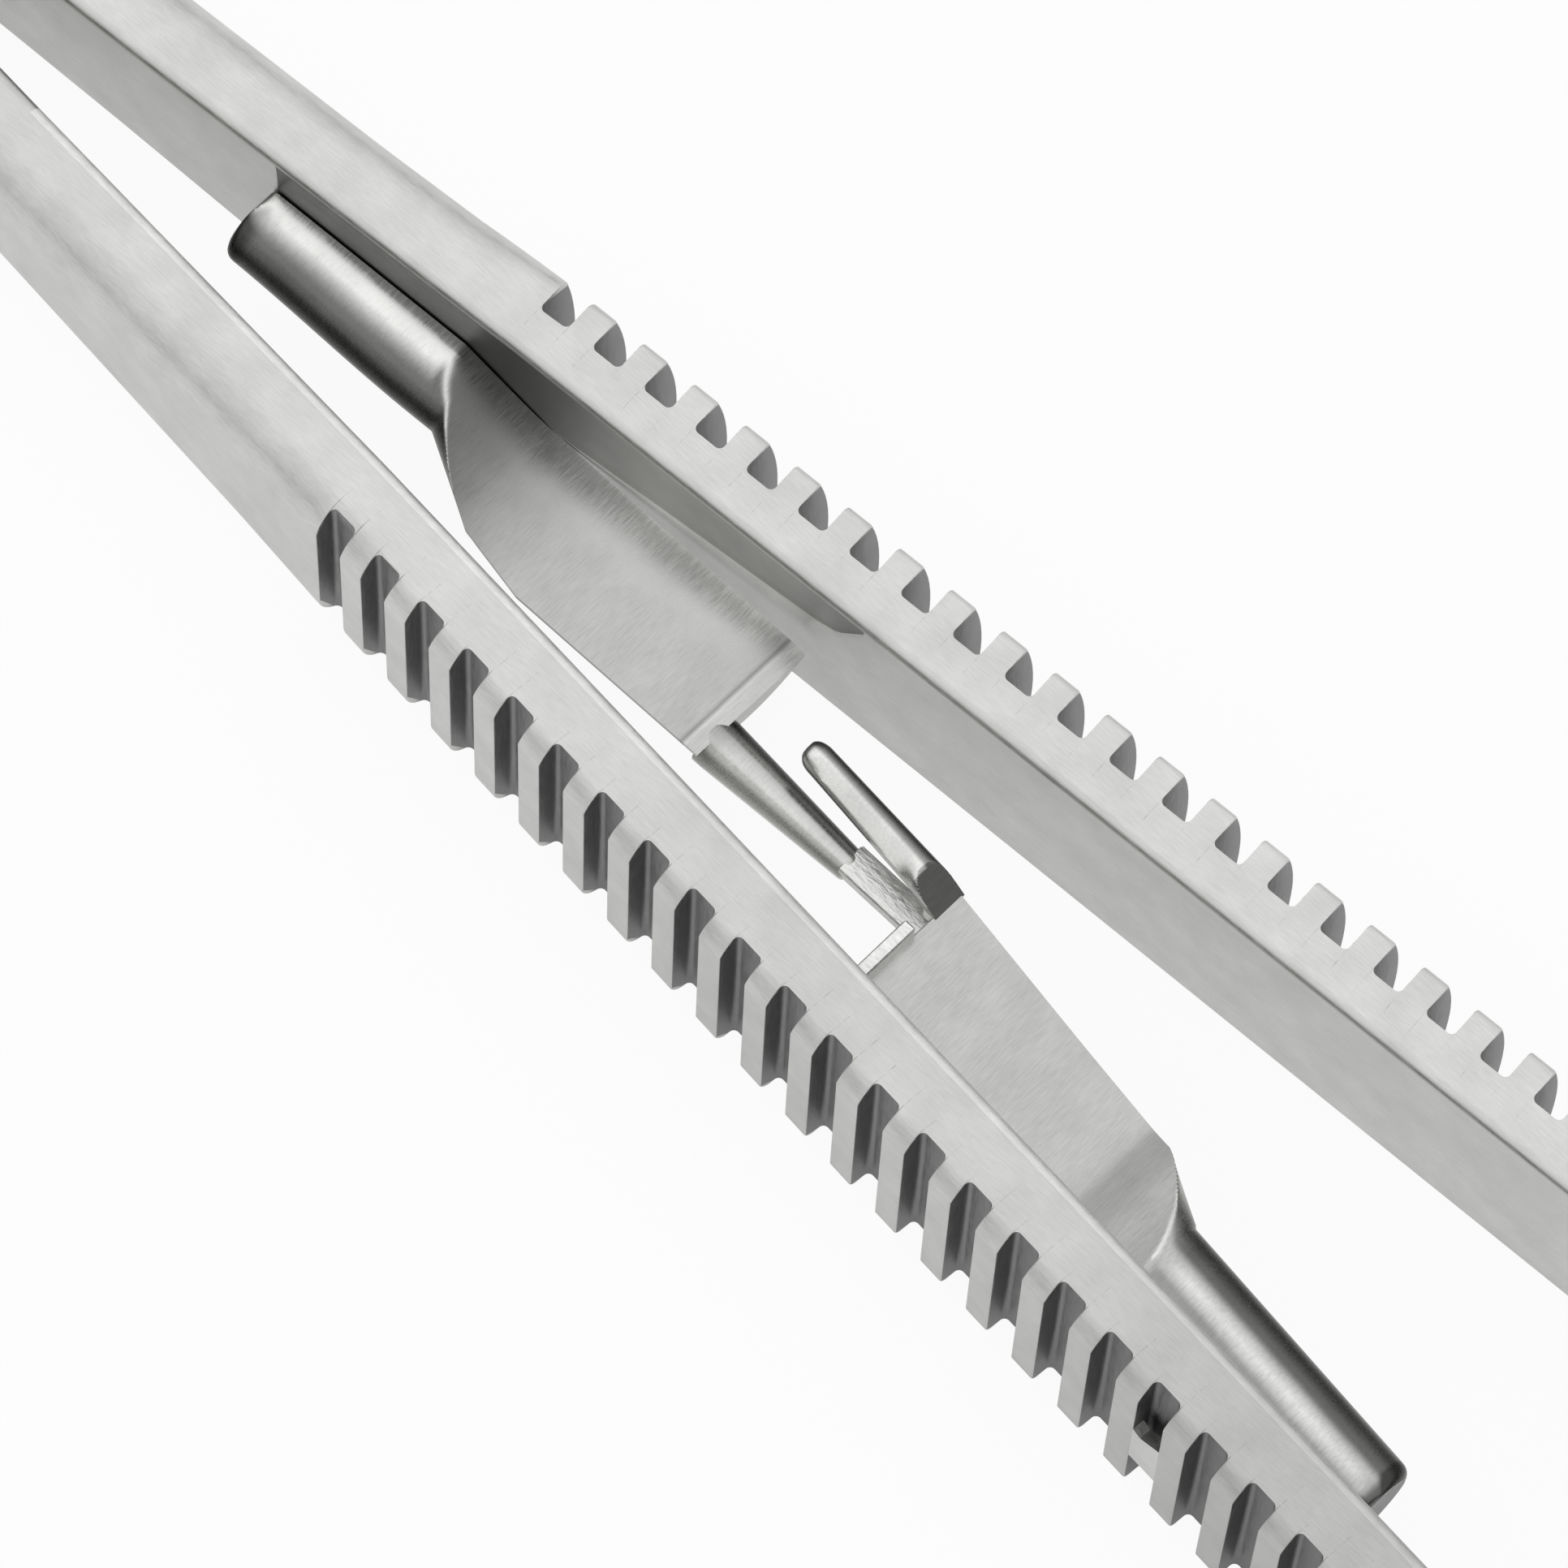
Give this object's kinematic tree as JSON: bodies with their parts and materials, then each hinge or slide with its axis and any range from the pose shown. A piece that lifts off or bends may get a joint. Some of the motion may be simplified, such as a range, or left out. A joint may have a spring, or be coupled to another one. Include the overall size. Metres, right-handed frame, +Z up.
{
  "type": "surgical needle holder",
  "caption": "Spring-handled micro needle holder with straight plain jaws, grooved flat handles and a hook-and-fork thumb catch, shown locked.",
  "frame": {"origin": "middle of the bounding box, on the surface the handles lie on", "axes": "+X from the jaws to the tail, +Y from the keeper's handle to the catch's handle, +Z up along the pivot axis"},
  "size_m": [0.14, 0.016, 0.0063],
  "materials": {
    "satin_steel": "satin ground stainless steel",
    "leaf_steel": "satin ground spring steel",
    "catch_steel": "polished forging with brushed flats",
    "screw_steel": "turned stainless steel"
  },
  "bodies": {
    "near_half": {"near_arm": "satin_steel", "keeper_fork": "catch_steel", "pivot_screw": "screw_steel", "far_tail_leaf": "leaf_steel", "tail_rivet_front": "screw_steel", "tail_rivet_rear": "screw_steel"},
    "far_half": {"far_arm": "satin_steel", "catch_hook": "catch_steel"}
  },
  "joints": [
    {"name": "arm_pivot", "type": "hinge", "parent": "near_half", "child": "far_half", "pos_m": [-0.0575, 0, 0.00315], "axis": [0, 0, 1], "range_deg": [0, 10], "deforming": ["far_tail_leaf"]}
  ]
}
